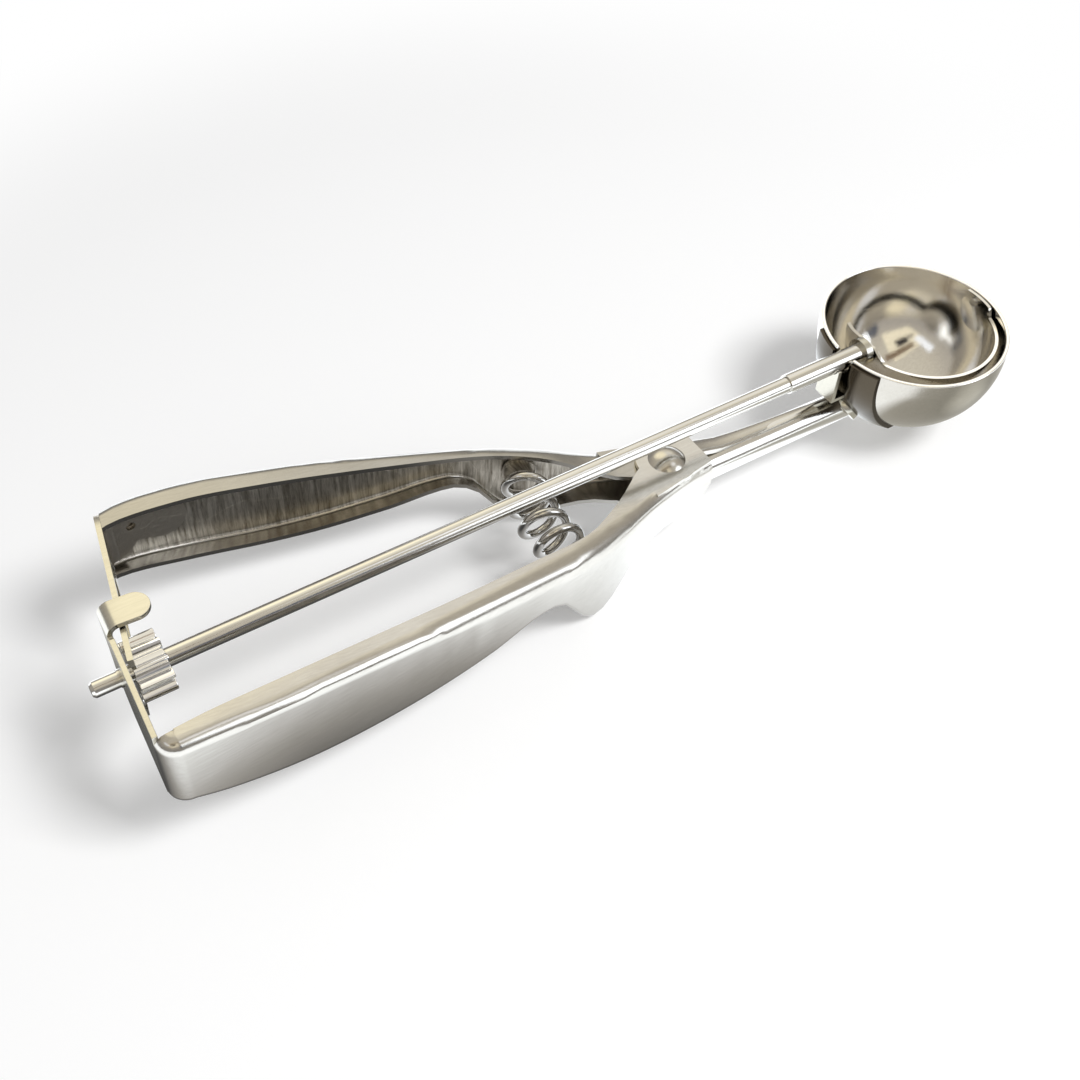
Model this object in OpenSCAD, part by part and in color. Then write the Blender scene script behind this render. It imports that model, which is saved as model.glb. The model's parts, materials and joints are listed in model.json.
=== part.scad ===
// Lever ice cream scoop, all stainless steel.
// Two pressed channel handles on one rivet. Squeezing them drives a straight rack
// past a pinion on a long rod, and the rod sweeps a thin blade round the bowl.
// +X runs along the rod towards the bowl, +Z is up out of the bowl, and the
// origin is on the rod axis at the free end of the rod's stub.

/* [Bowl] */
// Outer radius of the bowl
bowl_r = 20; // [18:0.5:22]
// Sheet thickness of the bowl
bowl_wall = 0.9; // [0.7:0.1:1.2]
// Distance from the stub's end to the bowl's centre
bowl_x = 182.5; // [180:0.5:190]
// Height of the rim above the rod axis
rim_z = 1.5; // [1:0.1:2]
// Height of the straight collar under the rim
collar_h = 3; // [2:0.5:4]

/* [Handles] */
// Distance from the stub's end to the pivot rivet
pivot_x = 118; // [116:0.5:119]
// Sheet thickness of the handles
sheet = 1; // [0.8:0.1:1.1]
// Outside radius of the lower pressed corners
press_r = 2; // [1.6:0.1:2.4]
// Radius of the fixed handle's lugs
fixed_lug_r = 6.3; // [5.8:0.1:6.6]
// Radius of the moving handle's lugs
moving_lug_r = 4.8; // [4.6:0.1:4.9]

/* [Stem] */
// Radius of the stem tube at the handle
stem_rear_r = 3.5; // [3.4:0.1:3.6]
// Radius of the stem tube at the bowl
stem_front_r = 3; // [2.8:0.1:3.2]
// Height of the stem axis at the handle
stem_rear_z = -13.4; // [-13.6:0.1:-13]
// Height of the stem axis at the bowl
stem_front_z = -14.3; // [-14.6:0.1:-14]

/* [Drive] */
// Radius of the drive rod
rod_r = 1.7; // [1.5:0.05:1.8]
// Number of pinion teeth
pinion_teeth = 10; // [10:1:10]
// Tooth module of the rack and pinion
tooth_module = 0.98; // [0.94:0.01:1]
// Distance from the rivet to the rack strip
rack_reach = 108.6; // [108:0.1:109]
// Angle between the rack strip and a line across the rod when open
rack_tilt = 11.5; // [11:0.1:12]
// Height of the rack and guide strips
strip_h = 16; // [15:0.5:16]

/* [Blade] */
// Outer radius of the sweep blade
blade_r = 16.4; // [16:0.1:16.8]
// Sheet thickness of the blade
blade_t = 0.7; // [0.5:0.1:0.9]
// Angle of bowl that the blade covers
blade_span = 34; // [30:1:36]

/* [Spring] */
// Mean radius of the spring coils
coil_r = 4.3; // [4.1:0.1:4.3]
// Radius of the spring wire
wire_r = 0.65; // [0.5:0.05:0.65]
// Number of turns
coil_turns = 5; // [5:1:6]

/* [Hidden] */

$fn = 64;
eps = 0.01;
fit = 0.05;          // radial clearance of every running fit
seat_gap = 0.02;     // gap between pieces that are pressed or welded together

ball_z = rim_z - collar_h;               // centre of the bowl's round part
web_z = -6.5;                            // top of the fixed handle's upper lug
base_z = -18.2;                          // underside of the fixed handle's lower lug
washer_t = 0.3;
inner_web_z = web_z - sheet - washer_t;  // top of the moving handle's upper lug
inner_base_z = base_z + sheet + washer_t;
rivet_r = 2;

// ---- Rack and pinion --------------------------------------------------------
pressure = 25;
pitch_r = tooth_module * pinion_teeth / 2;
tooth_pitch = PI * tooth_module;
backlash = 0.4;
tip_r = pitch_r + 0.95 * tooth_module;
root_r = pitch_r - 1.15 * tooth_module;
base_r = pitch_r * cos(pressure);
pinion_x = [6.5, 12.5];
guide_x = 4.8;                           // outer face of the guide strip at the rod
guide_turn = 3.6;                        // the guide strip's slant in plan
strip_t = 1;
free_end_y = -3.6;                       // where the rack's free end is when open
slot_clear = 0.5;
rack_mesh_s = -rack_reach * tan(rack_tilt);
rack_free_s = (free_end_y - rack_reach * sin(rack_tilt)) / cos(rack_tilt);
rack_travel = 4 * tooth_pitch;
slot_end_s = rack_mesh_s + rack_travel + tip_r + 3.2;

// ---- Curves -----------------------------------------------------------------
// A smooth curve through the points [x, value] of a table, read at x.
function seg(tab, x, i = 0) = i >= len(tab) - 2 || x < tab[i + 1][0] ? i : seg(tab, x, i + 1);
// Its slope at a point is level wherever the table turns back or runs flat.
function slope_at(tab, i) =
    let (a = max(i - 1, 0), b = min(i + 1, len(tab) - 1),
         before = tab[i][1] - tab[a][1], after = tab[b][1] - tab[i][1],
         ends = a == i || b == i)
    !ends && before * after <= 0 ? 0 : (tab[b][1] - tab[a][1]) / (tab[b][0] - tab[a][0]);
function curve(tab, x) =
    let (i = seg(tab, x), p = tab[i], q = tab[i + 1], h = q[0] - p[0], u = (x - p[0]) / h)
    p[1] * (2 * u * u * u - 3 * u * u + 1) + q[1] * (3 * u * u - 2 * u * u * u)
    + h * slope_at(tab, i) * (u * u * u - 2 * u * u + u)
    + h * slope_at(tab, i + 1) * (u * u * u - u * u);

function arc(cx, cz, r, from, to, steps = 4) =
    [for (k = [0:steps]) let (a = from + (to - from) * k / steps) [cx + r * cos(a), cz + r * sin(a)]];

// ---- Handle outlines ----------------------------------------------------------
// Each table gives [x, value] along the handle.
// Distance of the outer wall from the centre plane.
fixed_out = [[4, 23.1], [20, 22.4], [40, 21], [60, 19.3], [78, 17.3], [90, 15.6],
             [100, 12.6], [110, 8.8], [118, 6.9], [126, 5.8], [131, 5.3]];
moving_out = [[8, 27.5], [12.5, 31], [18, 32.8], [27, 33.2], [42, 31.3], [60, 27.6],
              [76, 23.4], [88, 19.6], [98, 15.2], [106, 11.2], [112, 8.6], [118, 7], [125, 6]];
// Height of the handle's top face.
fixed_top = [[4, 8.1], [40, 3.4], [75, -1.3], [98, -4.5], [108, -6.1], [114, web_z],
             [126, web_z], [131, -8.3]];
moving_top = [[8, 7.8], [40, 3.4], [75, -1.3], [96, -4.6], [104, -7],
              [108, inner_web_z], [125, inner_web_z]];
// Height of the underside, with the finger stop that hangs down in front of the spring.
fixed_bot = [[4, -7.6], [14, -11.6], [30, -15.4], [48, -16.6], [66, -15.4], [78, -12.9],
             [83, -14], [86.5, -18.5], [90, -23.6], [93.5, -25], [97.5, -23.6], [103, -19],
             [108, base_z], [126, base_z], [131, -17.9]];
moving_bot = [[8, -6.6], [18, -10], [32, -13.5], [50, -15], [66, -13.6], [79, -11.4],
              [84, -13.6], [88.5, -19.6], [92.5, -23], [96.5, -22.2], [101.5, -18.4],
              [106, inner_base_z], [125, inner_base_z]];
// Outside radius of the upper pressed corner.
shoulder = [[4, 2.4], [50, 2.8], [70, 3.8], [94, 4], [106, 2.8], [131, 2.6]];
// Width of the top flange, from the outer wall inwards.
fixed_flange = [[4, 3.6], [16, 4.7], [40, 5], [65, 4.9], [80, 4.8], [92, 4.4],
                [100, 5.6], [106, 7], [112, 9], [118, 10], [125, 9], [131, 8.3]];
moving_flange = [[8, 4.2], [20, 5.4], [45, 5.5], [66, 5.4], [84, 4.8], [92, 5],
                 [98, 5.8], [104, 7.6], [110, 9], [118, 8], [125, 8]];
// The bottom flange is this much narrower than the top one.
flange_step = 1.2;

function channel(out, top, bot, flange, side, x) =
    let (zt = curve(top, x), zb = curve(bot, x), w = curve(flange, x), wb = w - flange_step,
         r = press_r, ri = press_r - sheet, y = curve(out, x),
         t = curve(shoulder, x), ti = t - sheet,
         outline = concat([[w, zt]], arc(t, zt - t, t, 90, 180), arc(r, zb + r, r, 180, 270),
                          [[wb, zb], [wb, zb + sheet]], arc(r, zb + r, ri, 270, 180),
                          arc(t, zt - t, ti, 180, 90), [[w, zt - sheet]]))
    [for (p = outline) [x, side * (y - p[0]), p[1]]];

// A solid skinned over sections with equal numbers of points.
module skin(sections, flip = false) {
    n = len(sections[0]);
    m = len(sections);
    points = [for (s = sections) each s];
    walls = [for (i = [0:m - 2], j = [0:n - 1])
                let (a = i * n + j, b = i * n + (j + 1) % n, c = b + n, d = a + n)
                each [[a, b, c], [a, c, d]]];
    caps = [[for (j = [n - 1:-1:0]) j], [for (j = [0:n - 1]) (m - 1) * n + j]];
    faces = concat(walls, caps);
    polyhedron(points, flip ? [for (f = faces) [for (k = [len(f) - 1:-1:0]) f[k]]] : faces,
               convexity = 8);
}

module handle_shell(out, top, bot, flange, side, ends, steps) {
    skin([for (k = [0:steps]) channel(out, top, bot, flange, side,
                                      ends[0] + (ends[1] - ends[0]) * k / steps)],
         side < 0);
}

module along_x(x) { translate([x, 0, 0]) rotate([0, 90, 0]) children(); }
module rivet_hole(r) {
    translate([pivot_x, 0, base_z - 5]) cylinder(h = 20, r = r);
}

// ---- Fixed side ---------------------------------------------------------------
// A lug is coined a little proud of the sheet beside it.
module lug(top_z, outline, r = 0) {
    translate([0, 0, top_z - sheet - seat_gap]) linear_extrude(sheet + 2 * seat_gap) {
        if (r > 0) translate([pivot_x, 0]) circle(r = r);
        polygon(outline);
    }
}

// The handle butts against the guide strip.
handle_end_x = guide_x + strip_t + seat_gap - 18 * tan(guide_turn);

module fixed_handle() {
    color("silver") difference() {
        union() {
            handle_shell(fixed_out, fixed_top, fixed_bot, fixed_flange, -1,
                         [handle_end_x, 129.8], 46);
            for (z = [web_z, base_z + sheet])
                lug(z, [[110.6, -7.4], [111.9, 1.6], [pivot_x, 6], [124.5, 3], [126.4, -4.8]],
                    fixed_lug_r);
        }
        rivet_hole(rivet_r + seat_gap);
        guide_frame() translate([-9, -40, -20]) cube([10 + seat_gap, 80, 40]);
    }
}

stem_x = [125.5, 167];
stem_tilt = atan2(stem_rear_z - stem_front_z, stem_x[1] - stem_x[0]);
module stem_frame() {
    translate([stem_x[0], 0, stem_rear_z]) rotate([0, 90 + stem_tilt, 0]) children();
}
// Half section of the bowl filled to radius r: a quarter circle under a straight collar.
module bowl_half(r, top = 0) {
    intersection() {
        circle(r = r, $fn = 96);
        translate([0, -30]) square([30, 30]);
    }
    square([r, collar_h + top]);
}
module bowl_ball(r) { translate([bowl_x, 0, ball_z]) sphere(r = r, $fn = 96); }

saddle_t = 0.8;
saddle_half = 9.2;       // half the width of the saddle plate
collar_r = 4.2;          // radius of the stem's end collar
collar_t = 0.8;
foot = [bowl_x - 16.4, 0, stem_front_z];   // where the stem's axis meets the saddle
foot_angle = atan2(stem_front_z - ball_z, -16.4);

module stem() {
    wall = 0.9;
    length = stem_x[1] - stem_x[0];
    color("lightgray") difference() {
        stem_frame() cylinder(h = length, r1 = stem_rear_r, r2 = stem_front_r);
        stem_frame() translate([0, 0, -eps])
            cylinder(h = length + 2, r1 = stem_rear_r - wall, r2 = stem_front_r - wall);
        bowl_ball(bowl_r + saddle_t + seat_gap);
    }
}

module stem_collar() {
    color("gray") difference() {
        translate(foot) rotate([0, 90 - foot_angle, 0]) translate([0, 0, -1])
            cylinder(h = collar_t + 1, r = collar_r);
        bowl_ball(bowl_r + saddle_t + seat_gap);
        stem_frame() translate([0, 0, 20]) cylinder(h = 40, r1 = 3.36, r2 = 2.9);
    }
}

module bowl() {
    rod_slot = 2.3;
    color("gainsboro") difference() {
        translate([bowl_x, 0, ball_z]) rotate([0, 0, 90]) rotate_extrude($fn = 96)
            difference() {
                bowl_half(bowl_r);
                bowl_half(bowl_r - bowl_wall, 1);
            }
        along_x(bowl_x - 25) cylinder(h = 15, r = rod_slot);
        translate([bowl_x - 25, -rod_slot, 0]) cube([15, 2 * rod_slot, 5]);
        along_x(bowl_x + 15) cylinder(h = 10, r = pin_r + seat_gap);
    }
}

module bowl_saddle() {
    inner = bowl_r + seat_gap;
    outer = bowl_r + saddle_t;
    low_z = -17;
    color("lightgray") difference() {
        intersection() {
            translate([bowl_x, 0, ball_z]) rotate_extrude($fn = 96) difference() {
                bowl_half(outer);
                bowl_half(inner, 1);
            }
            translate([bowl_x - 25, -saddle_half, low_z])
                cube([18, 2 * saddle_half, rim_z - 0.6 - low_z]);
        }
        along_x(bowl_x - 25) cylinder(h = 15, r = 2.6);
        translate([bowl_x - 25, -2.6, 0]) cube([15, 5.2, 5]);
    }
}

module bearing_bracket() {
    half = 2.6;
    leaf_x = 159.4;
    foot_z = -9;
    color("gray") difference() {
        union() {
            translate([leaf_x, -half, foot_z]) cube([0.9, 2 * half, 8.6]);
            translate([leaf_x, -half, foot_z]) cube([8, 2 * half, 0.9]);
        }
        along_x(leaf_x - 1) cylinder(h = 4, r = sleeve_r + 2 * fit);
        bowl_ball(bowl_r + saddle_t + seat_gap);
        stem_frame() cylinder(h = stem_x[1] - stem_x[0], r1 = stem_rear_r + seat_gap,
                              r2 = stem_front_r + seat_gap);
        translate(foot) rotate([0, 90 - foot_angle, 0]) translate([0, 0, -1])
            cylinder(h = collar_t + 1 + seat_gap, r = collar_r + seat_gap);
    }
}

module front_pin() {
    color("gray") along_x(bowl_x + 17.2) cylinder(h = 2.6, r = pin_r);
}

// A flat plate that lies on the inside of a handle's outer wall, cut to an outline
// drawn in the x-z plane.
wall_gap = 0.12;
module wall_plate(out, side, ends, depth) {
    steps = 12;
    intersection() {
        skin([for (k = [0:steps])
                let (x = ends[0] + (ends[1] - ends[0]) * k / steps,
                     y = curve(out, x) - sheet - wall_gap)
                [[x, side * y, 12], [x, side * y, -14], [x, side * (y - depth), -14],
                 [x, side * (y - depth), 12]]],
             side < 0);
        translate([0, 50, 0]) rotate([90, 0, 0]) linear_extrude(100) children();
    }
}

// The guide strip crosses the rod at a slight slant.
module guide_frame() { translate([guide_x, 0, 0]) rotate([0, 0, -guide_turn]) children(); }

module guide_strip() {
    half = strip_h / 2;
    hook_y = [3.4, 9];
    hook_reach = 8.6;           // from the strip's outer face to the tip of the hook
    hook_z = half + 1.3;        // top of the hook
    bend = 2.4;                 // outer bend radius of the hook
    tip_r = (hook_y[1] - hook_y[0]) / 2;
    end_y = -22.9;
    flange_x = guide_x - 0.5;   // the flange starts inside the slanted plate
    corner = 2.2;
    color("lightgray") difference() {
        union() {
            guide_frame() {
                // cross plate behind the pinion, with the rod's hole, rising to the hook
                rotate([90, 0, 90]) linear_extrude(strip_t)
                    polygon(concat(arc(end_y + corner, half - corner - 0.1, corner, 90, 180),
                                   arc(end_y + corner, -half + corner, corner, 180, 270),
                                   [[-3, -half]], arc(-1, -1, 6, -80, 0, 8),
                                   [[5.4, 1.6], [7.2, 4.4], [8.4, 5.4], [hook_y[1], 6.2],
                                    [hook_y[1], hook_z - bend], [hook_y[0], hook_z - bend],
                                    [hook_y[0] - 0.6, half - 1.2], [hook_y[0] - 1.4, half]]));
                // hook bent over the rack's top edge
                translate([bend, hook_y[0], hook_z - bend]) rotate([-90, 0, 0])
                    linear_extrude(hook_y[1] - hook_y[0]) intersection() {
                        difference() {
                            circle(r = bend);
                            circle(r = bend - strip_t);
                        }
                        translate([-bend, -bend]) square([bend, bend]);
                    }
                translate([0, 0, hook_z - strip_t]) linear_extrude(strip_t) {
                    translate([bend, hook_y[0]])
                        square([hook_reach - bend - tip_r, hook_y[1] - hook_y[0]]);
                    translate([hook_reach - tip_r, hook_y[0] + tip_r]) circle(r = tip_r);
                }
            }
            // flange welded inside the fixed handle
            wall_plate(fixed_out, -1, [flange_x, 29], strip_t)
                union() {
                    polygon([[flange_x, 4.6], [24, 2.4], [24, -6.4], [flange_x, -5]]);
                    translate([24, -2]) circle(r = 4.4);
                }
        }
        along_x(0) cylinder(h = 10, r = journal_r + fit);
    }
}

// ---- Moving side ----------------------------------------------------------------
module rack_frame() { translate([pivot_x, 0, 0]) rotate([0, 0, -rack_tilt]) children(); }

module moving_handle() {
    color("silver") difference() {
        union() {
            handle_shell(moving_out, moving_top, moving_bot, moving_flange, 1,
                         [9, 125], 46);
            for (z = [inner_web_z, inner_base_z + sheet])
                lug(z, [[107.6, 9.6], [107.6, 3.6], [112.2, -2.2], [114, -7], [124, -7],
                        [124, 5.6], [pivot_x, 6.4]]);
        }
        rivet_hole(rivet_r + fit);
        // the round end of the lugs
        translate([0, 0, -30]) linear_extrude(30) difference() {
            translate([104, -20]) square([30, 60]);
            translate([pivot_x, 0]) circle(r = moving_lug_r);
            polygon([[100, 41], [100, -3.6], [112, -3.6], [pivot_x - 3, -3.6],
                     [pivot_x - 0.6, 0], [pivot_x - 0.6, 41]]);
        }
        // the rear end is cut square to the rack strip, which closes it
        rack_frame() translate([-rack_reach - 20, -10, -20])
            cube([20 + strip_t / 2 + seat_gap, 40, 40]);
    }
}

module rack_teeth_gap() {
    // toothed slot, open at the free end: teeth point down from the upper rail
    half_pitch = tooth_pitch / 2;
    tip_z = pitch_r - 0.75 * tooth_module;
    root_z = pitch_r + 1.15 * tooth_module;
    thick = half_pitch - backlash;
    lean = tan(pressure);
    top = [for (k = [-1:6]) let (s = rack_mesh_s + (k + 0.5) * tooth_pitch)
             each [[s - thick / 2 - (root_z - pitch_r) * lean, root_z],
                   [s - thick / 2 + (pitch_r - tip_z) * lean, tip_z],
                   [s + thick / 2 - (pitch_r - tip_z) * lean, tip_z],
                   [s + thick / 2 + (root_z - pitch_r) * lean, root_z]]];
    low_z = -tip_r - slot_clear;
    polygon(concat([[rack_free_s - 3, root_z]], top, [[slot_end_s, root_z]],
                   [[slot_end_s, low_z], [rack_free_s - 3, low_z]]));
}

module rack_strip() {
    half = strip_h / 2;
    far_s = 9.4;
    round_r = 1.6;
    bend = 1.6;                 // inner radius of the bend to the flange
    color("lightgray") union() {
        rack_frame() {
            difference() {
                translate([-rack_reach - strip_t / 2, 0, 0]) rotate([90, 0, 90])
                    linear_extrude(strip_t) difference() {
                        polygon(concat([[rack_free_s, -half]], arc(far_s - round_r, round_r - half,
                                        round_r, -90, 0),
                                       arc(far_s - round_r, half - 1.1 - round_r, round_r, 0, 80),
                                       [[4.5, half], [rack_free_s, half]]));
                        rack_teeth_gap();
                    }
            }
            // filled inside of the bend
            translate([-rack_reach + strip_t / 2 - 0.1, far_s - 2.8, -5.6]) linear_extrude(10.4)
                difference() {
                    square([bend + 0.1, bend + 0.3]);
                    translate([bend + 0.1, 0]) circle(r = bend);
                }
        }
        // flange welded inside the moving handle
        difference() {
            wall_plate(moving_out, 1, [12, 31], strip_t)
                difference() {
                    union() {
                        polygon([[12.4, 4.4], [25, 2.8], [25, -6], [22.4, -5.2], [19.4, -4.2],
                                 [18.2, -5.4], [17.8, -7], [12.4, -6]]);
                        translate([25, -1.6]) circle(r = 4.4);
                    }
                    translate([18.8, 0]) circle(r = 0.9);
                }
            rack_frame() translate([-rack_reach - 20, -10, -20])
                cube([20 + strip_t / 2 - 0.2, 40, 40]);
        }
    }
}

// ---- Pivot ------------------------------------------------------------------------
module pivot_rivet() {
    head_r = 3.8;
    head_h = 1.5;
    dome_r = (head_r * head_r + head_h * head_h) / (2 * head_h);
    color("silver") translate([pivot_x, 0, 0]) {
        translate([0, 0, base_z - 0.6]) cylinder(h = web_z - base_z + 0.7, r = rivet_r);
        for (up = [1, -1])
            translate([0, 0, up > 0 ? web_z + 2 * seat_gap : base_z - 2 * seat_gap])
                mirror([0, 0, up > 0 ? 0 : 1]) intersection() {
                    translate([0, 0, head_h - dome_r]) sphere(r = dome_r);
                    cylinder(h = head_h, r = head_r);
                }
    }
}

module pivot_washer(z) {
    color("gray") translate([pivot_x, 0, z + 2 * seat_gap]) difference() {
        cylinder(h = washer_t - 4 * seat_gap, r = 4.4);
        translate([0, 0, -1]) cylinder(h = 3, r = rivet_r + fit);
    }
}
module upper_washer() { pivot_washer(web_z - sheet - washer_t); }
module lower_washer() { pivot_washer(base_z + sheet); }

// ---- Spring -------------------------------------------------------------------------
spring_y = [-12, 13.8];              // where the axis of the coils starts and ends
spring_z = [-9.9, -11];
coil_start = -20;                    // angle at which the wire starts
bow = 0.0165;                        // the spring bows away from the pivot

function spring_x(y) = 89 + bow * (y + 2) * (y + 2);
function spring_turn(y) = atan(2 * bow * (y + 2));

module spring() {
    per_turn = 16;
    sides = 8;
    total = coil_turns * per_turn;
    color("dimgray") skin([for (k = [0:total])
        let (a = coil_start + 360 * k / per_turn,
             y = spring_y[0] + (spring_y[1] - spring_y[0]) * k / total,
             z = spring_z[0] + (spring_z[1] - spring_z[0]) * k / total, t = spring_turn(y))
        [for (j = [0:sides - 1])
            let (b = 360 * j / sides, r = (coil_r + wire_r * cos(b)) * cos(a), n = wire_r * sin(b))
            [spring_x(y) + r * cos(t) + n * sin(t), y - r * sin(t) + n * cos(t),
             z + (coil_r + wire_r * cos(b)) * sin(a)]]],
        false);
}

module spring_seat(side, out, x, z) {
    lean = atan(-(curve(out, x + 3) - curve(out, x - 3)) / 6);
    wall_y = curve(out, x) - sheet - 0.4;
    color("gray") translate([x, side * wall_y, z])
        rotate([0, 0, -side * lean]) rotate([side * 90, 0, 0]) {
            cylinder(h = 0.6, r = 3.4);
            cylinder(h = 3, r = 2.9);
        }
}
module fixed_spring_seat() { spring_seat(-1, fixed_out, spring_x(spring_y[0]), spring_z[0]); }
module moving_spring_seat() { spring_seat(1, moving_out, spring_x(spring_y[1]), spring_z[1]); }

// ---- Sweep ---------------------------------------------------------------------------
blade_shift = 2.3;                   // the blade's centre is this far in front of the bowl's
blade_x = bowl_x + blade_shift;
hub_x = blade_x - blade_r;           // back of the blade where the rod meets it
stub_r = 1.5;                        // the rod's free end behind the guide strip
journal_r = rod_r - 0.04;            // where the rod turns in the guide strip
spigot_r = 1.2;                      // the rod's end in the blade
pin_r = 0.9;                         // the front pin
sleeve_r = rod_r + 0.35;

module drive_rod() {
    journal_x = [4.3, 6.4];
    color("silver") {
        along_x(-0.5) cylinder(h = 0.5, r1 = 1.1, r2 = stub_r - eps);
        along_x(0) cylinder(h = journal_x[0] + eps, r = stub_r);
        along_x(journal_x[0]) cylinder(h = journal_x[1] - journal_x[0] + eps, r = journal_r);
        along_x(journal_x[1]) cylinder(h = hub_x - 0.1 - journal_x[1], r = rod_r);
        along_x(hub_x - 0.2) cylinder(h = 1.8, r = spigot_r);
    }
}

module rod_sleeve() {
    color("gainsboro") difference() {
        along_x(147.4) cylinder(h = hub_x - 1.6 - 147.4, r = sleeve_r);
        along_x(140) cylinder(h = 60, r = rod_r + seat_gap);
    }
}

function involute(r0, a) = [r0 * (cos(a) + a * PI / 180 * sin(a)),
                            r0 * (sin(a) - a * PI / 180 * cos(a))];
function involute_at(r0, r) = sqrt(r * r / (r0 * r0) - 1) * 180 / PI;
function turned(p, a) = [p[0] * cos(a) - p[1] * sin(a), p[0] * sin(a) + p[1] * cos(a)];

module pinion() {
    steps = 4;
    pitch_mark = involute(base_r, involute_at(base_r, pitch_r));
    half_tooth = 90 / pinion_teeth + atan2(pitch_mark[1], pitch_mark[0]);
    side = [for (k = [0:steps])
              involute(base_r, involute_at(base_r, tip_r) * k / steps)];
    tooth = concat([[root_r * cos(half_tooth), -root_r * sin(half_tooth)]],
                   [for (p = side) turned(p, -half_tooth)],
                   [for (k = [steps:-1:0]) turned([side[k][0], -side[k][1]], half_tooth)],
                   [[root_r * cos(half_tooth), root_r * sin(half_tooth)]]);
    color("lightgray") along_x(pinion_x[0]) rotate([0, 0, 180]) difference() {
        linear_extrude(pinion_x[1] - pinion_x[0])
            polygon([for (t = [0:pinion_teeth - 1], p = tooth)
                       turned(p, 360 * t / pinion_teeth)]);
        translate([0, 0, -1]) cylinder(h = 10, r = rod_r + seat_gap);
    }
}

module blade_hub() {
    color("gray") difference() {
        along_x(hub_x - 1.6) cylinder(h = 1.6 - seat_gap, r = 3);
        along_x(hub_x - 3) cylinder(h = 6, r = rod_r + seat_gap);
    }
}

module sweep_blade() {
    root_half = 8;             // half the width of the blade's root
    root_z = 1.9;              // height of the root round the rod's end
    tab_r = 3;
    tab_swell = 4.3;           // the tab widens below, where the blade leaves it
    top_z = -0.5;
    color("gainsboro") difference() {
        intersection() {
            difference() {
                translate([blade_x, 0, 0]) sphere(r = blade_r, $fn = 96);
                translate([blade_x, 0, 0]) sphere(r = blade_r - blade_t, $fn = 96);
            }
            union() {
                translate([bowl_x - 30, 0, 0]) rotate([90, 0, 90]) linear_extrude(60)
                    polygon([[0, top_z], [-30, top_z],
                             [-30 * cos(blade_span), -30 * sin(blade_span)]]);
                translate([bowl_x - 20, 0, 0]) rotate([90, 0, 90]) linear_extrude(15)
                    intersection() {
                        circle(r = root_half);
                        polygon([[-9, top_z], [-5.5, top_z], [-2.2, root_z], [2.2, root_z],
                                 [9, 0.4], [9, -9], [-9, -9]]);
                    }
                translate([bowl_x + 10, 0, 0]) rotate([90, 0, 90]) linear_extrude(12)
                    intersection() {
                        union() {
                            circle(r = tab_r);
                            translate([-1.2, -1.6]) circle(r = tab_swell);
                        }
                        translate([-20, rim_z - 20]) square([40, 20]);
                    }
            }
        }
        along_x(bowl_x + 10) cylinder(h = 12, r = pin_r + fit);
        along_x(bowl_x - 20) cylinder(h = 10, r = spigot_r + seat_gap);
    }
}

fixed_handle();
moving_handle();
stem();
stem_collar();
bowl();
bowl_saddle();
bearing_bracket();
front_pin();
guide_strip();
rack_strip();
pivot_rivet();
upper_washer();
lower_washer();
spring();
fixed_spring_seat();
moving_spring_seat();
drive_rod();
rod_sleeve();
pinion();
blade_hub();
sweep_blade();
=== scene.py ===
"""Looks for the lever ice cream scoop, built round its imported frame.

Every Blender object is in metres. The camera's place and the tables and sizes of the
pieces are written in millimetres, and those of the studio in metres.
"""
import json
import math

import bmesh
import bpy
from mathutils import Matrix, Vector


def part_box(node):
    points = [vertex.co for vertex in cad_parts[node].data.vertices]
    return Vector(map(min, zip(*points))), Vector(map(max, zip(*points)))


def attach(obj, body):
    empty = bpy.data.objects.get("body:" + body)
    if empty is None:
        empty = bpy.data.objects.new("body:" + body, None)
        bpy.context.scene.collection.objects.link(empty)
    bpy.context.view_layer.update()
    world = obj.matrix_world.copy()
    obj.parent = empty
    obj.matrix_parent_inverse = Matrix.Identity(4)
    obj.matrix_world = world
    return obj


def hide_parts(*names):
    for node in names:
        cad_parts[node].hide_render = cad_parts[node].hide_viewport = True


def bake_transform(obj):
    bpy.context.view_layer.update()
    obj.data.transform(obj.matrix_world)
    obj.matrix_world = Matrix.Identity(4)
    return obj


MM = 0.001

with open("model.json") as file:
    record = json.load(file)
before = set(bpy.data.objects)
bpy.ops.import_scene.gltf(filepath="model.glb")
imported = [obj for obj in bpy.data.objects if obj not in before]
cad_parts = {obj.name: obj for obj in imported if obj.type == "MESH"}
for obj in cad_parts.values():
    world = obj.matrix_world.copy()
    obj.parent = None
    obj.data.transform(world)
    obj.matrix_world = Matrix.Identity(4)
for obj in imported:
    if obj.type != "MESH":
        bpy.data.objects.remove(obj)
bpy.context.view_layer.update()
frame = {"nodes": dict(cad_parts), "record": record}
nodes = frame["nodes"]


# ---- Camera ------------------------------------------------------------------

CAMERA_PLACE = (-16.45, -149.22, 196.37)
HEADING, DIP, ROLL = (math.radians(angle) for angle in (54.937, 49.075, 3.442))
SENSOR = 36
FOCAL_PIXELS, FRAME_PIXELS = 1417.484, 1080


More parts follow.
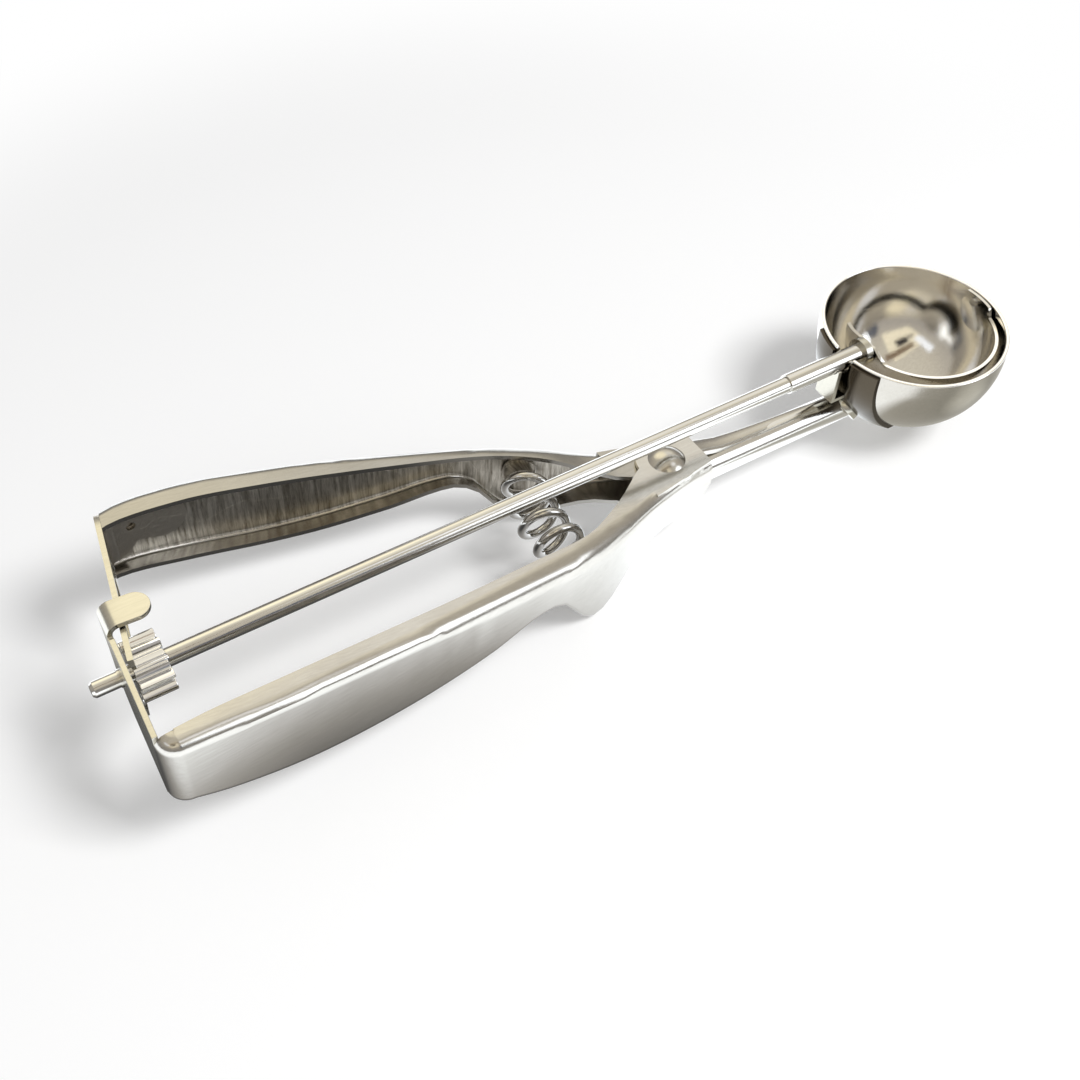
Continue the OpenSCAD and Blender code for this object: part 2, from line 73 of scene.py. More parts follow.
def place_camera():
    """Three-quarter view from the open end of the handles."""
    data = bpy.data.cameras.new("camera")
    camera = bpy.data.objects.new("camera", data)
    bpy.context.scene.collection.objects.link(camera)
    bpy.context.scene.camera = camera
    forward = Vector((math.cos(HEADING) * math.cos(DIP),
                      math.sin(HEADING) * math.cos(DIP), -math.sin(DIP)))
    level = Vector((math.sin(HEADING), -math.cos(HEADING), 0))
    upright = level.cross(forward)
    right = level * math.cos(ROLL) + upright * math.sin(ROLL)
    up = upright * math.cos(ROLL) - level * math.sin(ROLL)
    turn = Matrix((right, up, -forward)).transposed().to_4x4()
    camera.matrix_world = Matrix.Translation(Vector(CAMERA_PLACE) * MM) @ turn
    data.sensor_fit = "HORIZONTAL"
    data.sensor_width = SENSOR
    data.lens = SENSOR * FOCAL_PIXELS / FRAME_PIXELS
    data.clip_start = 0.01
    data.clip_end = 20


place_camera()
bpy.context.scene.view_settings.view_transform = "Standard"


# ---- Shader nodes --------------------------------------------------------------

def reckon(tree, operation, *values):
    """A maths node on sockets and plain numbers."""
    node = tree.nodes.new("ShaderNodeMath")
    node.operation = operation
    for socket, value in zip(node.inputs, values):
        if isinstance(value, (int, float)):
            socket.default_value = value
        else:
            tree.links.new(value, socket)
    return node.outputs[0]


def remap(tree, value, start, end, interpolation="LINEAR"):
    """Rises from 0 to 1 while the value goes from start to end."""
    node = tree.nodes.new("ShaderNodeMapRange")
    node.interpolation_type = interpolation
    node.inputs["From Min"].default_value = start
    node.inputs["From Max"].default_value = end
    tree.links.new(value, node.inputs["Value"])
    return node.outputs["Result"]


def mix_colors(tree, factor, under, over, blend="MIX"):
    """Lays a second colour over a first by a factor; each is a socket or a value."""
    node = tree.nodes.new("ShaderNodeMix")
    node.data_type = "RGBA"
    node.blend_type = blend
    for label, value in (("Factor", factor), ("A", under), ("B", over)):
        if isinstance(value, (int, tuple)):
            node.inputs[label].default_value = value
        else:
            tree.links.new(value, node.inputs[label])
    return node.outputs["Result"]


def noise(tree, place, scale, detail, roughness=0.5):
    node = tree.nodes.new("ShaderNodeTexNoise")
    node.inputs["Scale"].default_value = scale
    node.inputs["Detail"].default_value = detail
    node.inputs["Roughness"].default_value = roughness
    tree.links.new(place, node.inputs["Vector"])
    return node.outputs["Fac"]


def ramp(tree, factor, stops):
    """A colour ramp from (position, colour) stops."""
    node = tree.nodes.new("ShaderNodeValToRGB")
    marks = node.color_ramp.elements
    while len(marks) < len(stops):
        marks.new(0.5)
    for mark, (position, color) in zip(marks, stops):
        mark.position = position
        mark.color = (*color, 1)
    tree.links.new(factor, node.inputs["Fac"])
    return node.outputs["Color"]


def ray_is(tree, *kinds):
    """1 for rays of these kinds and 0 for all others."""
    path = tree.nodes.new("ShaderNodeLightPath")
    found = path.outputs[f"Is {kinds[0]} Ray"]
    for kind in kinds[1:]:
        found = reckon(tree, "MAXIMUM", found, path.outputs[f"Is {kind} Ray"])
    return found


# ---- Materials ---------------------------------------------------------------

POLISH_INPUTS = {"Color": "NodeSocketColor", "Tint": "NodeSocketFloat",
                 "Roughness": "NodeSocketFloat", "Cloud": "NodeSocketFloat",
                 "Grain": "NodeSocketFloat", "Wave": "NodeSocketFloat",
                 "Streak": "NodeSocketFloat", "Along": "NodeSocketVector"}
POLISH_OUTPUTS = {"Color": "NodeSocketColor", "Roughness": "NodeSocketFloat",
                  "Height": "NodeSocketFloat"}
CLOUD_SCALE, HAIR_SCALE, SCRATCH_SCALE, WAVE_SCALE = 70, 3, 140, 95
HAIR_ROUGHNESS = 0.7
STREAK_START, STREAK_END = 0.35, 0.65
SCRATCH_WIDTH, SCRATCH_DEPTH = 0.012, 0.25
WORN_COLOR = (0.45, 0.42, 0.38, 1)
LINE_COLOR = (0.25, 0.23, 0.2, 1)
BUMP_DISTANCE = 0.0002


def build_polish():
    """Colour drift, cloudy roughness, hairline scratches and a fine buffing grain."""
    group = bpy.data.node_groups.new("steel_polish", "ShaderNodeTree")
    for label, kind in POLISH_INPUTS.items():
        group.interface.new_socket(label, in_out="INPUT", socket_type=kind)
    for label, kind in POLISH_OUTPUTS.items():
        group.interface.new_socket(label, in_out="OUTPUT", socket_type=kind)
    add, link = group.nodes.new, group.links.new
    given = add("NodeGroupInput").outputs
    out = add("NodeGroupOutput").inputs

    place = add("ShaderNodeTexCoord").outputs["Object"]
    cloud = noise(group, place, CLOUD_SCALE, 4)
    stretch = add("ShaderNodeVectorMath")
    stretch.operation = "MULTIPLY"
    link(place, stretch.inputs[0])
    link(given["Along"], stretch.inputs[1])
    hair = noise(group, stretch.outputs[0], HAIR_SCALE, 6, HAIR_ROUGHNESS)
    broad = noise(group, place, WAVE_SCALE, 1)
    scratch = add("ShaderNodeTexVoronoi")
    scratch.feature = "DISTANCE_TO_EDGE"
    scratch.inputs["Scale"].default_value = SCRATCH_SCALE
    link(place, scratch.inputs["Vector"])
    between = remap(group, scratch.outputs["Distance"], 0, SCRATCH_WIDTH)

    worn = mix_colors(group, reckon(group, "MULTIPLY", cloud, given["Tint"]),
                      given["Color"], WORN_COLOR, "MULTIPLY")
    lines = reckon(group, "MULTIPLY", remap(group, hair, STREAK_START, STREAK_END),
                   given["Streak"])
    link(mix_colors(group, lines, worn, LINE_COLOR, "MULTIPLY"), out["Color"])
    link(reckon(group, "MULTIPLY_ADD", cloud, given["Cloud"], given["Roughness"]),
         out["Roughness"])
    fine = reckon(group, "MULTIPLY_ADD", between, SCRATCH_DEPTH, hair)
    fine = reckon(group, "MULTIPLY", fine, given["Grain"])
    link(reckon(group, "MULTIPLY_ADD", broad, given["Wave"], fine), out["Height"])
    return group


POLISH = build_polish()


def steel(name, color, roughness, cloud=0.05, tint=0.2, grain=1.0, along=(40, 900, 900),
          strength=0.06, wave=4.0, streak=0.1):
    """A steel; along is the pitch of its grain in x, y and z, wave its unevenness."""
    material = bpy.data.materials.new(name)
    material.use_nodes = True
    tree = material.node_tree
    shader = tree.nodes["Principled BSDF"]
    shader.inputs["Metallic"].default_value = 1
    finish = tree.nodes.new("ShaderNodeGroup")
    finish.node_tree = POLISH
    for label, value in (("Color", (*color, 1)), ("Roughness", roughness), ("Cloud", cloud),
                         ("Tint", tint), ("Grain", grain), ("Wave", wave),
                         ("Streak", streak), ("Along", along)):
        finish.inputs[label].default_value = value
    bump = tree.nodes.new("ShaderNodeBump")
    bump.inputs["Strength"].default_value = strength
    bump.inputs["Distance"].default_value = BUMP_DISTANCE
    tree.links.new(finish.outputs["Color"], shader.inputs["Base Color"])
    tree.links.new(finish.outputs["Roughness"], shader.inputs["Roughness"])
    tree.links.new(finish.outputs["Height"], bump.inputs["Height"])
    tree.links.new(bump.outputs["Normal"], shader.inputs["Normal"])
    return material


handle_steel = steel("handle_steel", (0.62, 0.60, 0.56), 0.13, 0.10, 0.45)
# painted shade: the far handle gets a darker copy of the handle steel
shaded_far_steel = steel("shaded_far_steel", (0.46, 0.445, 0.415), 0.15, 0.10, 0.5)
channel_steel = steel("channel_steel", (0.95, 0.91, 0.83), 0.28, 0.15, 0.7, grain=1.8,
                      along=(450, 40, 40), strength=0.3, streak=0.9)
flange_steel = steel("flange_steel", (0.74, 0.70, 0.63), 0.2, 0.3, 0.9, grain=2.0,
                     along=(300, 300, 300), strength=0.3)
bowl_steel = steel("bowl_steel", (0.78, 0.76, 0.72), 0.05, 0.10, 0.35, wave=2.0)
# painted shade: a darker copy of the bowl steel for the bowl's outside faces
shaded_shell_steel = steel("shaded_shell_steel", (0.50, 0.475, 0.43), 0.12, 0.08, 0.4, wave=2.0)
# painted shade: the saddle's steel is made near black so that it reads as shaded
shaded_saddle_steel = steel("shaded_saddle_steel", (0.075, 0.062, 0.045), 0.14, 0.08, 0.4, wave=2.0)
rod_steel = steel("rod_steel", (0.70, 0.685, 0.65), 0.10, 0.06, 0.3, wave=1.5)
strip_steel = steel("strip_steel", (0.64, 0.62, 0.55), 0.18, 0.12, 0.4)
pinion_steel = steel("pinion_steel", (1.0, 1.0, 1.0), 0.08, 0.05, 0.1, grain=0.3,
                     wave=0.3, streak=0)
spring_steel = steel("spring_steel", (0.60, 0.59, 0.57), 0.06, 0.05, 0.3, wave=1.0)
blade_steel = steel("blade_steel", (0.74, 0.72, 0.68), 0.05, 0.06, 0.3, wave=2.0)
# painted highlight: a near white copy of the steel for the rims
rim_highlight_steel = steel("rim_highlight_steel", (1.0, 0.99, 0.97), 0.1, 0.05, 0.1, streak=0)

FINISHES = {
    "fixed_handle": handle_steel, "moving_handle": handle_steel, "stem": rod_steel,
    "stem_collar": strip_steel, "bowl": bowl_steel, "bowl_saddle": shaded_saddle_steel,
    "bearing_bracket": strip_steel, "front_pin": rod_steel, "guide_strip": strip_steel,
    "rack_strip": strip_steel, "pivot_rivet": handle_steel, "upper_washer": strip_steel,
    "lower_washer": strip_steel, "spring": spring_steel, "fixed_spring_seat": channel_steel,
    "moving_spring_seat": channel_steel, "drive_rod": rod_steel, "rod_sleeve": rod_steel,
    "pinion": pinion_steel, "blade_hub": strip_steel, "sweep_blade": blade_steel}
for name, finish in FINISHES.items():
    nodes[name].data.materials.clear()
    nodes[name].data.materials.append(finish)


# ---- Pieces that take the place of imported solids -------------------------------

BODY_OF = {node: body for body, members in frame["record"]["behaviour"]["bodies"].items()
           for node in members}

MERGE_DISTANCE = 2e-6
FLAT_ANGLE = math.radians(0.4)
SHARP_ANGLE = math.radians(50)

# distance of each handle's outer wall from the middle plane, and the middle height inside it
FIXED_WALL = [(4, 23.1), (20, 22.4), (40, 21), (60, 19.3), (78, 17.3), (90, 15.6),
              (100, 12.6), (110, 8.8), (118, 6.9), (131, 5.3)]
MOVING_WALL = [(8, 27.5), (12.5, 31), (18, 32.8), (27, 33.2), (42, 31.3), (60, 27.6),
               (76, 23.4), (88, 19.6), (98, 15.2), (106, 11.2), (112, 8.6), (118, 7), (125, 6)]
CHANNEL_Z = [(4, 0), (40, -6.4), (75, -7.4), (98, -12), (110, -12.4), (131, -12.6)]
CHANNEL_FRONT = 131
# a face is inside a channel if it looks this far towards a line this far in from the wall,
# and its normal rises less than this
CHANNEL_DEPTH, CHANNEL_INSET, CHANNEL_RISE = 0.5, 2.5, 0.6

# the near grip's rear corner in plan, what it cuts off the guide strip, and the grip's neck
CORNER_R = 3.7
CORNER = (3.5 + CORNER_R, -23 + CORNER_R, 0)
CORNER_STEPS = 7
GUIDE_CUT = ((-5, -30, -12), (CORNER[0], CORNER[1] - 0.02, 12))
NECK_END = 125.6
NECK_CUT = [(118.6, -20), (119.6, -17.9), (121.6, -17.2), (123.4, -15.6), (124.6, -13.6),
            (126.5, -10.8), (126.5, -20)]
NECK_CUT_Y = (-12, -3.4)

# the tongue: place, half width and height of each ring, and the rings' profile
TONGUE = [(124.2, 2.0, -6.7), (127, 1.9, -7.4), (131.6, 1.8, -8.9), (138, 1.7, -9.9),
          (146, 1.5, -10.6), (154, 1.3, -11.0), (161, 1.1, -11.5)]
TONGUE_PROFILE = [(-1, -1.5), (-0.97, -0.45), (-0.7, -0.12), (0, 0), (0.7, -0.12),
                  (0.97, -0.45), (1, -1.5)]
TONGUE_Y = 0.6

STEM_END = (NECK_END, 0, -13.4)
STEM_END_REACH = (2.2, 3.44, 3.44)
# where the rack's welded flange starts
FLANGE_START = 12.9
# the bowl's outer faces lie beyond this radius, and its rim round this height
BOWL_MIDDLE = (182.5, 0, -1.5)
BOWL_OUTSIDE_R = 19.6
BOWL_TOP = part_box("bowl")[1].z / MM
# how upright the normal of a rim face with the painted highlight, and of a bowl's rim face, is
# at least
RIM_RISE, LIP_RISE = 0.3, 0.9


def read_at(table, x):
    """A table's value at x, by straight lines between its rows."""
    for (x0, v0), (x1, v1) in zip(table, table[1:]):
        if x <= x1:
            break
    return v0 + (v1 - v0) * (x - x0) / (x1 - x0)


def only(piece):
    """Selects one piece and nothing else."""
    bpy.ops.object.select_all(action="DESELECT")
    piece.select_set(True)
    bpy.context.view_layer.objects.active = piece


def copy_node(node, name):
    """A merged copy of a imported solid, still unfinished."""
    piece = bpy.data.objects.new(name, nodes[node].data.copy())
    bpy.context.scene.collection.objects.link(piece)
    only(piece)
    bpy.ops.object.mode_set(mode="EDIT")
    bpy.ops.mesh.customdata_custom_splitnormals_clear()
    bpy.ops.mesh.select_all(action="SELECT")
    bpy.ops.mesh.remove_doubles(threshold=MERGE_DISTANCE)
    bpy.ops.mesh.dissolve_degenerate(threshold=MERGE_DISTANCE / 2)
    bpy.ops.mesh.dissolve_limited(angle_limit=FLAT_ANGLE)
    bpy.ops.object.mode_set(mode="OBJECT")
    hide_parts(node)
    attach(piece, BODY_OF[node])
    return piece


def finish_steel(piece, angle=35, edge=0.0, segments=2):
    """Softens the sharp edges and shades the piece smooth round its bends."""
    only(piece)
    if edge:
        bevel = piece.modifiers.new("edge", "BEVEL")
        bevel.width = edge * MM
        bevel.segments = segments
        bevel.limit_method = "ANGLE"
        bevel.angle_limit = SHARP_ANGLE
        bevel.use_clamp_overlap = True
        bpy.ops.object.modifier_apply(modifier="edge")
    bpy.ops.object.shade_smooth_by_angle(angle=math.radians(angle))
    evened = piece.modifiers.new("even", "WEIGHTED_NORMAL")
    evened.keep_sharp = True
    bpy.ops.object.modifier_apply(modifier="even")
    return piece


def add_finish(piece, material, belongs):
    """Gives the faces that belong to it a further material."""
    piece.data.materials.append(material)
    last = len(piece.data.materials) - 1
    for face in piece.data.polygons:
        if belongs(face):
            face.material_index = last


def round_rim(piece, low, high, width):
    """Rounds the sharp edges that lie between two heights and gives that rim a painted
    highlight.
    """
    shape = bmesh.new()
    shape.from_mesh(piece.data)
    rim = [edge for edge in shape.edges if edge.is_manifold
           and edge.calc_face_angle(0) > SHARP_ANGLE
           and all(low * MM < vert.co.z < high * MM for vert in edge.verts)]
    bmesh.ops.bevel(shape, geom=rim, offset=width * MM, segments=4, profile=0.5,
                    affect="EDGES", clamp_overlap=True)
    shape.to_mesh(piece.data)
    shape.free()
    # the upward faces of the rim take the painted highlight
    add_finish(piece, rim_highlight_steel, lambda face: (low * MM < face.center.z < high * MM
                                               and face.normal.z > RIM_RISE))


def loft(name, rows):
    """A closed mesh through rows of points given in millimetres."""
    shape = bmesh.new()
    rows = [[shape.verts.new(Vector(point) * MM) for point in row] for row in rows]
    for a, b in zip(rows, rows[1:]):
        for k in range(len(a)):
            m = (k + 1) % len(a)
            shape.faces.new((a[k], b[k], b[m], a[m]))
    shape.faces.new(rows[0])
    shape.faces.new(rows[-1][::-1])
    bmesh.ops.recalc_face_normals(shape, faces=shape.faces)
    mesh = bpy.data.meshes.new(name)
    shape.to_mesh(mesh)
    shape.free()
    return bpy.data.objects.new(name, mesh)


def subtract(piece, cutter):
    only(piece)
    cut = piece.modifiers.new("cut", "BOOLEAN")
    cut.operation = "DIFFERENCE"
    cut.solver = "EXACT"
    cut.object = cutter
    bpy.ops.object.modifier_apply(modifier="cut")
    bpy.data.objects.remove(cutter)


def cut_box(piece, low, high):
    """Cuts a box, given by two corners, out of a piece."""
    bpy.ops.object.select_all(action="DESELECT")
    bpy.ops.mesh.primitive_cube_add(size=1)
    box = bpy.context.object
    low, high = Vector(low) * MM, Vector(high) * MM
    box.data.transform(Matrix.Translation((low + high) / 2)
                       @ Matrix.Diagonal((*(high - low), 1)))
    subtract(piece, box)


def slice_off(piece, place, normal):
    """Cuts a piece at a plane, drops what lies beyond and leaves the cut open and selected."""
    only(piece)
    bpy.ops.object.mode_set(mode="EDIT")
    bpy.ops.mesh.select_all(action="SELECT")
    bpy.ops.mesh.bisect(plane_co=[c * MM for c in place], plane_no=normal,
                        clear_outer=True, threshold=1e-7)


def finish_channel(piece, side, wall, first):
    """Gives the unpolished inside of a channel handle its own material."""
    def inside(face):
        x = face.center.x / MM
        if not first < x < CHANNEL_FRONT:
            return False
        middle = Vector((x, side * (read_at(wall, x) - CHANNEL_INSET), read_at(CHANNEL_Z, x)))
        depth = (middle * MM - face.center).dot(face.normal)
        return depth > CHANNEL_DEPTH * MM and face.normal.z < CHANNEL_RISE

    add_finish(piece, channel_steel, inside)


def press_near_grip():
    """The fixed handle, its rear end drawn round a corner to the guide strip."""
    piece = copy_node("fixed_handle", "near_grip")
    slice_off(piece, (NECK_END, 0, 0), (1, 0, 0))
    bpy.ops.mesh.edge_face_add()
    bpy.ops.object.mode_set(mode="OBJECT")
    slice_off(piece, (CORNER[0], 0, 0), (-1, 0, 0))
    bpy.ops.mesh.spin(steps=CORNER_STEPS, angle=math.radians(90),
                      center=[c * MM for c in CORNER], axis=(0, 0, 1))
    bpy.ops.mesh.edge_face_add()
    bpy.ops.mesh.select_all(action="SELECT")
    bpy.ops.mesh.remove_doubles(threshold=MERGE_DISTANCE)
    bpy.ops.mesh.normals_make_consistent(inside=False)
    bpy.ops.object.mode_set(mode="OBJECT")
    # the neck's lower edge rises to the stem
    subtract(piece, loft("cutter", [[(x, y, z) for x, z in NECK_CUT] for y in NECK_CUT_Y]))
    finish_channel(finish_steel(piece), -1, FIXED_WALL, CORNER[0])


def close_stem():
    """The domed rear end of the stem, just inside the neck."""
    bpy.ops.object.select_all(action="DESELECT")
    bpy.ops.mesh.primitive_uv_sphere_add(segments=40, ring_count=20, radius=1)
    piece = bpy.context.object
    piece.name = "stem_end"
    piece.data.transform(Matrix.Translation(Vector(STEM_END) * MM)
                         @ Matrix.Diagonal((*(Vector(STEM_END_REACH) * MM), 1)))
    piece.data.materials.append(rod_steel)
    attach(piece, "frame_body")
    bpy.ops.object.shade_smooth()


def dress_far_grip():
    piece = finish_steel(copy_node("moving_handle", "far_grip"))
    finish_channel(piece, 1, MOVING_WALL, 0)
    # the far handle takes the darker copy of the steel, as painted shade
    piece.data.materials[0] = shaded_far_steel


def lay_tongue():
    """The handle's tongue that tapers off along the top of the stem."""
    piece = loft("stem_tongue", [[(x, TONGUE_Y + y * half, top + drop)
                                  for y, drop in TONGUE_PROFILE] for x, half, top in TONGUE])
    bpy.context.scene.collection.objects.link(piece)
    piece.data.materials.append(handle_steel)
    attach(piece, "frame_body")
    finish_steel(piece, angle=40)


def dress_drive():
    """The guide strip, cut short where the near grip comes round, the rack and the pinion."""
    guide = copy_node("guide_strip", "rod_guide")
    cut_box(guide, *GUIDE_CUT)
    finish_steel(guide, angle=30, edge=0.12)
    rack = finish_steel(copy_node("rack_strip", "slotted_rack"), angle=30, edge=0.1)
    add_finish(rack, flange_steel, lambda face: face.center.x > FLANGE_START * MM)
    finish_steel(copy_node("pinion", "long_pinion"), angle=30, edge=0.12)


def dress_bowl():
    """The bowl and the blade with rounded rims that carry a painted highlight, the bowl's
    outside darkened as painted shade, and the fittings on the bowl.
    """
    shell = copy_node("bowl", "scoop_bowl")
    round_rim(shell, low=BOWL_TOP - 0.5, high=BOWL_TOP + 0.1, width=0.3)
    finish_steel(shell, angle=50)

    def outside(face):
        out = face.center - Vector(BOWL_MIDDLE) * MM
        return (out.dot(face.normal) > 0 and abs(face.normal.z) < LIP_RISE
                and out.length > BOWL_OUTSIDE_R * MM and not face.material_index)

    # painted shade: the bowl's outside faces take the darker copy of its steel
    add_finish(shell, shaded_shell_steel, outside)
    finish_steel(copy_node("bowl_saddle", "saddle_plate"), angle=40, edge=0.25, segments=3)
    leaf = copy_node("sweep_blade", "sweep_leaf")
    round_rim(leaf, low=-1.2, high=0.2, width=0.18)
    finish_steel(leaf, angle=50)
    finish_steel(copy_node("stem_collar", "stem_ring"), angle=40, edge=0.12)
    finish_steel(copy_node("bearing_bracket", "rod_bracket"), angle=30, edge=0.08)


# the coil's mean radius and its wire's, its turns, its first angle and the steps of a turn,
# then the bowed line that it follows from end to end
COIL_R, WIRE_R, COIL_TURNS, COIL_START, COIL_STEPS = 4.2, 0.9, 5, -20, 32
COIL_X, COIL_BOW, COIL_BOW_Y = 89, 0.0165, -2
COIL_Y, COIL_Z = (-12, 13.8), (-9.9, -11)


def wind_spring():
    """A round wire coil between the handles, along a slightly bowed line."""
    path = []
    steps = COIL_STEPS * COIL_TURNS
    for k in range(steps + 1):
        part = k / steps
        y = COIL_Y[0] + (COIL_Y[1] - COIL_Y[0]) * part
        z = COIL_Z[0] + (COIL_Z[1] - COIL_Z[0]) * part
        lean = math.atan(2 * COIL_BOW * (y - COIL_BOW_Y))
        turn = math.radians(COIL_START + 360 * COIL_TURNS * part)
        across = COIL_R * math.cos(turn)
        path.append((COIL_X + COIL_BOW * (y - COIL_BOW_Y) ** 2 + across * math.cos(lean),
                     y - across * math.sin(lean), z + COIL_R * math.sin(turn)))
    curve = bpy.data.curves.new("coil", "CURVE")
    curve.dimensions = "3D"
    curve.bevel_depth = WIRE_R * MM
    curve.bevel_resolution = 4
    curve.use_fill_caps = True
    line = curve.splines.new("POLY")
    line.points.add(len(path) - 1)
    for point, place in zip(line.points, path):
        point.co = (*(c * MM for c in place), 1)
    piece = bpy.data.objects.new("coil", curve)
    bpy.context.scene.collection.objects.link(piece)
    only(piece)
    bpy.ops.object.convert(target="MESH")
    piece = bpy.context.object
    bpy.ops.object.shade_smooth_by_angle(angle=SHARP_ANGLE)
    piece.data.materials.append(spring_steel)
    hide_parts("spring")
    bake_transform(piece)


press_near_grip()
close_stem()
dress_far_grip()
lay_tongue()
dress_drive()
dress_bowl()
wind_spring()


# ---- Studio ------------------------------------------------------------------

FLOOR_Z = min(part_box(n)[0].z for n in nodes)
FLOOR_SIZE = 6
MIDDLE = (0.1, 0, 0)
AMBIENT = 0.35
PAPER = (0.8, 0.8, 0.8, 1)
FLOOR_GLOW = 0.2
# to the camera the floor turns plain white away from the tool: how far the fade reaches from
# the middle, and the nearness, from 0 there to 1 at the middle, at which it starts and ends
FLOOR_FADE = 0.4
FADE_START, FADE_END = 0.62, 0.4
# how much of the floor in gloss is its own light, and that light by place: the middle and
# the reach of each patch, and its levels from far off to the middle; the dark middles are
# painted shadow under the tool and under the bowl, seen in reflections
PAINTED_SHADE_SHARE = 0.88
GLOSS_FLOOR_PAINTED_SHADE = [((0.03, 0), (0.10, 0.06), [(0, (2.1, 2.2, 2.3)), (0.16, (1.9, 2.0, 2.1)),
                                    (0.37, (0.86, 0.87, 0.88)), (0.43, (0.52, 0.51, 0.49)),
                                    (0.6, (0.06, 0.06, 0.06))]),
         ((0.198, -0.034), (0.046, 0.044), [(0, (1, 1, 1)), (0.14, (0.32, 0.30, 0.26)),
                                            (0.6, (0.25, 0.235, 0.20)),
                                            (0.85, (0.50, 0.48, 0.42))])]
# the room in gloss by height, then its round patches: direction, inner and outer angle, colour
ROOM = [(0, (0.30, 0.29, 0.28)), (0.35, (0.50, 0.47, 0.43)), (0.8, (0.74, 0.69, 0.59)),
        (1, (0.80, 0.75, 0.64))]
ROOM_PATCHES = [
    ((0.376, 0.536, 0.756), 12, 38, (1.22, 1.16, 0.99)),
    ((0.5, 0.52, 0.69), 6, 16, (1.24, 1.21, 1.14)),
    ((0.08, 0.68, 0.73), 8, 24, (1.7, 1.58, 1.22)),
    ((0.56, -0.67, 0.48), 13, 19, (2.8, 2.95, 3.15)),
    ((0.18, -0.85, 0.46), 6, 11, (0.16, 0.17, 0.2)),
    ((0.376, -0.287, 0.871), 7, 10, (1.5, 1.52, 1.56)),
]
# straight-edged panels on a ceiling at height 1: middle, half size, colour
CEILING_PANELS = [
    ((-0.62, -0.75), (0.6, 0.5), (1.2, 1.1, 0.86)),
    ((-1.05, -0.2), (0.16, 0.35), (1.35, 1.4, 1.5)),
    ((-0.3, -0.4), (0.45, 0.08), (0.3, 0.22, 0.15)),
    ((-0.5, -0.65), (0.2, 0.12), (0.04, 0.035, 0.04)),
    ((-0.85, -0.7), (0.14, 0.05), (0.05, 0.05, 0.06)),
]
PANEL_HORIZON = 0.05


def nearness(tree, middle, reach):
    """1 at a place on the floor, falling to 0 at its reach."""
    place = tree.nodes.new("ShaderNodeTexCoord")
    mapping = tree.nodes.new("ShaderNodeMapping")
    mapping.vector_type = "TEXTURE"
    mapping.inputs["Location"].default_value = (*middle, FLOOR_Z)
    mapping.inputs["Scale"].default_value = (*reach, 1)
    ball = tree.nodes.new("ShaderNodeTexGradient")
    ball.gradient_type = "SPHERICAL"
    tree.links.new(place.outputs["Object"], mapping.inputs["Vector"])
    tree.links.new(mapping.outputs["Vector"], ball.inputs["Vector"])
    return ball.outputs["Fac"]


def glowing(tree, color, strength=1.0):
    """An emission of a colour; colour and strength are sockets or values."""
    node = tree.nodes.new("ShaderNodeEmission")
    for label, value in (("Color", color), ("Strength", strength)):
        if isinstance(value, (float, tuple)):
            node.inputs[label].default_value = value
        else:
            tree.links.new(value, node.inputs[label])
    return node.outputs[0]


def mix_surfaces(tree, factor, first, second):
    node = tree.nodes.new("ShaderNodeMixShader")
    for socket, value in zip(node.inputs, (factor, first, second)):
        tree.links.new(value, socket)
    return node.outputs[0]


def floor_surface():
    """White paper that keeps a soft shadow, with light of its own in gloss and far away; in
    gloss that light is painted shadow, dark round the tool and under the bowl.
    """
    material = bpy.data.materials.new("floor_paper")
    material.use_nodes = True
    tree = material.node_tree
    tree.nodes.clear()
    paper = tree.nodes.new("ShaderNodeBsdfDiffuse")
    paper.inputs["Color"].default_value = PAPER
    lit = tree.nodes.new("ShaderNodeAddShader")
    tree.links.new(paper.outputs[0], lit.inputs[0])
    tree.links.new(glowing(tree, (*[FLOOR_GLOW] * 3, 1), ray_is(tree, "Camera", "Transmission")),
                   lit.inputs[1])
    # painted shadow in reflections: the floor's light in gloss is dark under the tool and the
    # bowl
    shade_rings = [ramp(tree, nearness(tree, middle, reach), stops)
             for middle, reach, stops in GLOSS_FLOOR_PAINTED_SHADE]
    painted_gloss_floor = glowing(tree, mix_colors(tree, 1, *shade_rings, "MULTIPLY"))
    share = reckon(tree, "MULTIPLY", ray_is(tree, "Glossy"), PAINTED_SHADE_SHARE)
    near = mix_surfaces(tree, share, lit.outputs[0], painted_gloss_floor)
    away = remap(tree, nearness(tree, MIDDLE[:2], (FLOOR_FADE, FLOOR_FADE)),
                 FADE_START, FADE_END, "SMOOTHSTEP")
    plain = reckon(tree, "MULTIPLY", away, ray_is(tree, "Camera"))
    out = tree.nodes.new("ShaderNodeOutputMaterial")
    tree.links.new(mix_surfaces(tree, plain, near, glowing(tree, (1, 1, 1, 1))),
                   out.inputs["Surface"])
    return material


def add_floor():
    bpy.ops.object.select_all(action="DESELECT")
    bpy.ops.mesh.primitive_plane_add(size=FLOOR_SIZE, location=(*MIDDLE[:2], FLOOR_Z))
    floor = bpy.context.object
    floor.name = "floor"
    bpy.ops.object.transform_apply()
    floor.data.materials.append(floor_surface())


def round_patch(tree, look, direction, inner, outer):
    """1 within the inner angle from a direction, falling softly to 0 at the outer one."""
    toward = tree.nodes.new("ShaderNodeVectorMath")
    toward.operation = "DOT_PRODUCT"
    toward.inputs[1].default_value = Vector(direction).normalized()
    tree.links.new(look, toward.inputs[0])
    return remap(tree, toward.outputs["Value"], math.cos(math.radians(outer)),
                 math.cos(math.radians(inner)), "SMOOTHSTEP")


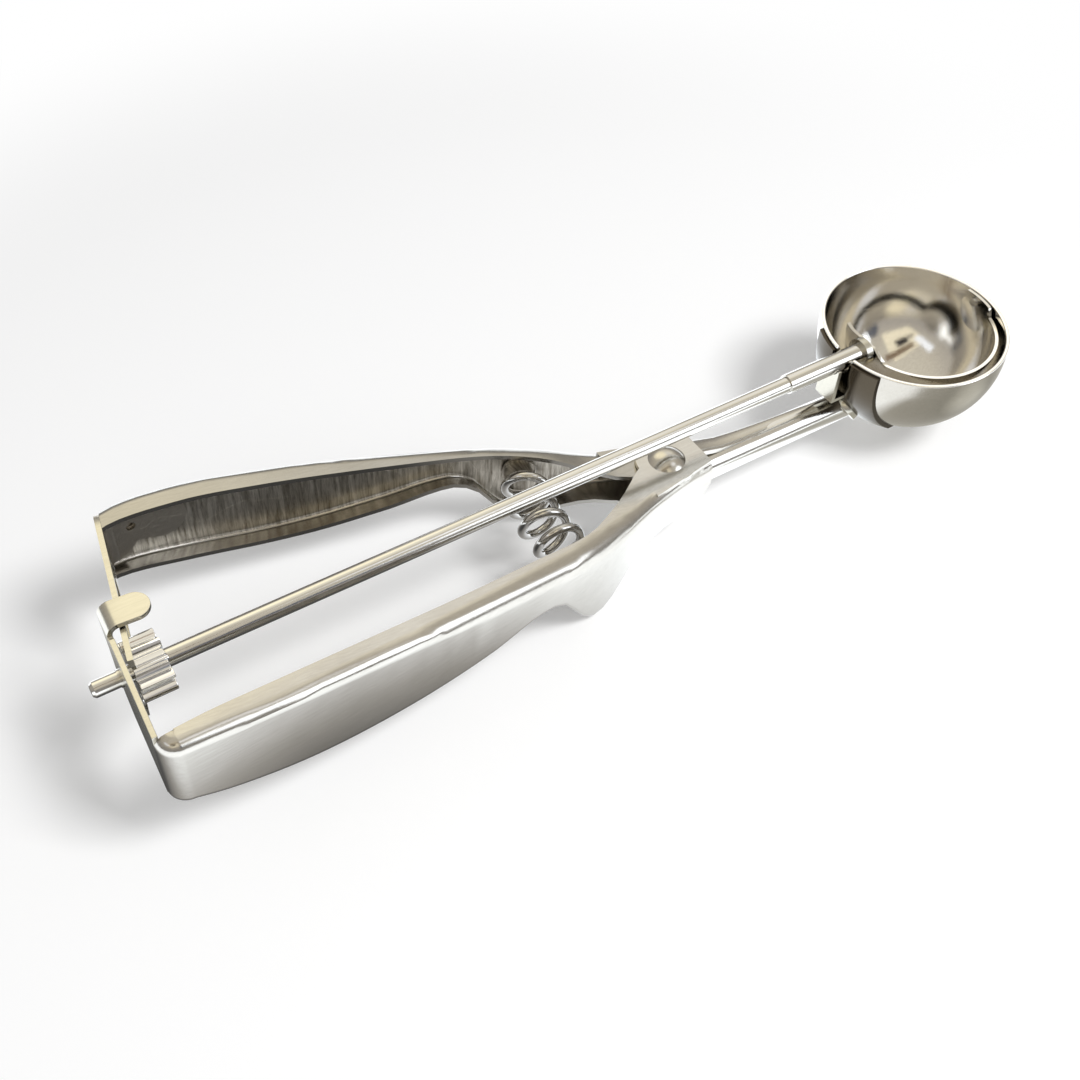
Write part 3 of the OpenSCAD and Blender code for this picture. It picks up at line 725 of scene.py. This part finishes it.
def ceiling_panel(tree, split, middle, half):
    """1 within a straight-edged panel on the ceiling, and 0 outside it."""
    height = split.outputs["Z"]
    inside = reckon(tree, "GREATER_THAN", height, PANEL_HORIZON)
    for axis, centre, reach in zip("XY", middle, half):
        place = reckon(tree, "DIVIDE", split.outputs[axis], height)
        inside = reckon(tree, "MULTIPLY", inside,
                        reckon(tree, "COMPARE", place, centre, reach))
    return inside


def light_world():
    """Plain white light, and a warm room with windows that shows only in gloss."""
    world = bpy.data.worlds.new("studio")
    bpy.context.scene.world = world
    world.use_nodes = True
    tree = world.node_tree
    look = tree.nodes.new("ShaderNodeTexCoord").outputs["Generated"]
    split = tree.nodes.new("ShaderNodeSeparateXYZ")
    tree.links.new(look, split.inputs[0])
    room = ramp(tree, split.outputs["Z"], ROOM)
    for direction, inner, outer, color in ROOM_PATCHES:
        room = mix_colors(tree, round_patch(tree, look, direction, inner, outer),
                          room, (*color, 1))
    for middle, half, color in CEILING_PANELS:
        room = mix_colors(tree, ceiling_panel(tree, split, middle, half), room, (*color, 1))
    ground = tree.nodes["Background"]
    tree.links.new(mix_colors(tree, ray_is(tree, "Glossy"), (1, 1, 1, 1), room),
                   ground.inputs["Color"])
    seen = ray_is(tree, "Camera", "Transmission", "Glossy")
    tree.links.new(reckon(tree, "MULTIPLY_ADD", seen, 1 - AMBIENT, AMBIENT),
                   ground.inputs["Strength"])


def add_lamp(name, place, size, power):
    """A square area lamp aimed at the middle of the tool, unseen in gloss."""
    data = bpy.data.lights.new(name, "AREA")
    data.shape = "SQUARE"
    data.size = size
    data.energy = power
    lamp = bpy.data.objects.new(name, data)
    bpy.context.scene.collection.objects.link(lamp)
    aim = (Vector(MIDDLE) - Vector(place)).to_track_quat("-Z", "Y")
    lamp.matrix_world = Matrix.Translation(Vector(place)) @ aim.to_matrix().to_4x4()
    lamp.visible_glossy = False


add_floor()
light_world()
add_lamp("key_lamp", place=(0.4, -0.42, 0.75), size=0.3, power=6)
add_lamp("fill_lamp", place=(-0.4, -0.6, 0.8), size=0.8, power=2)
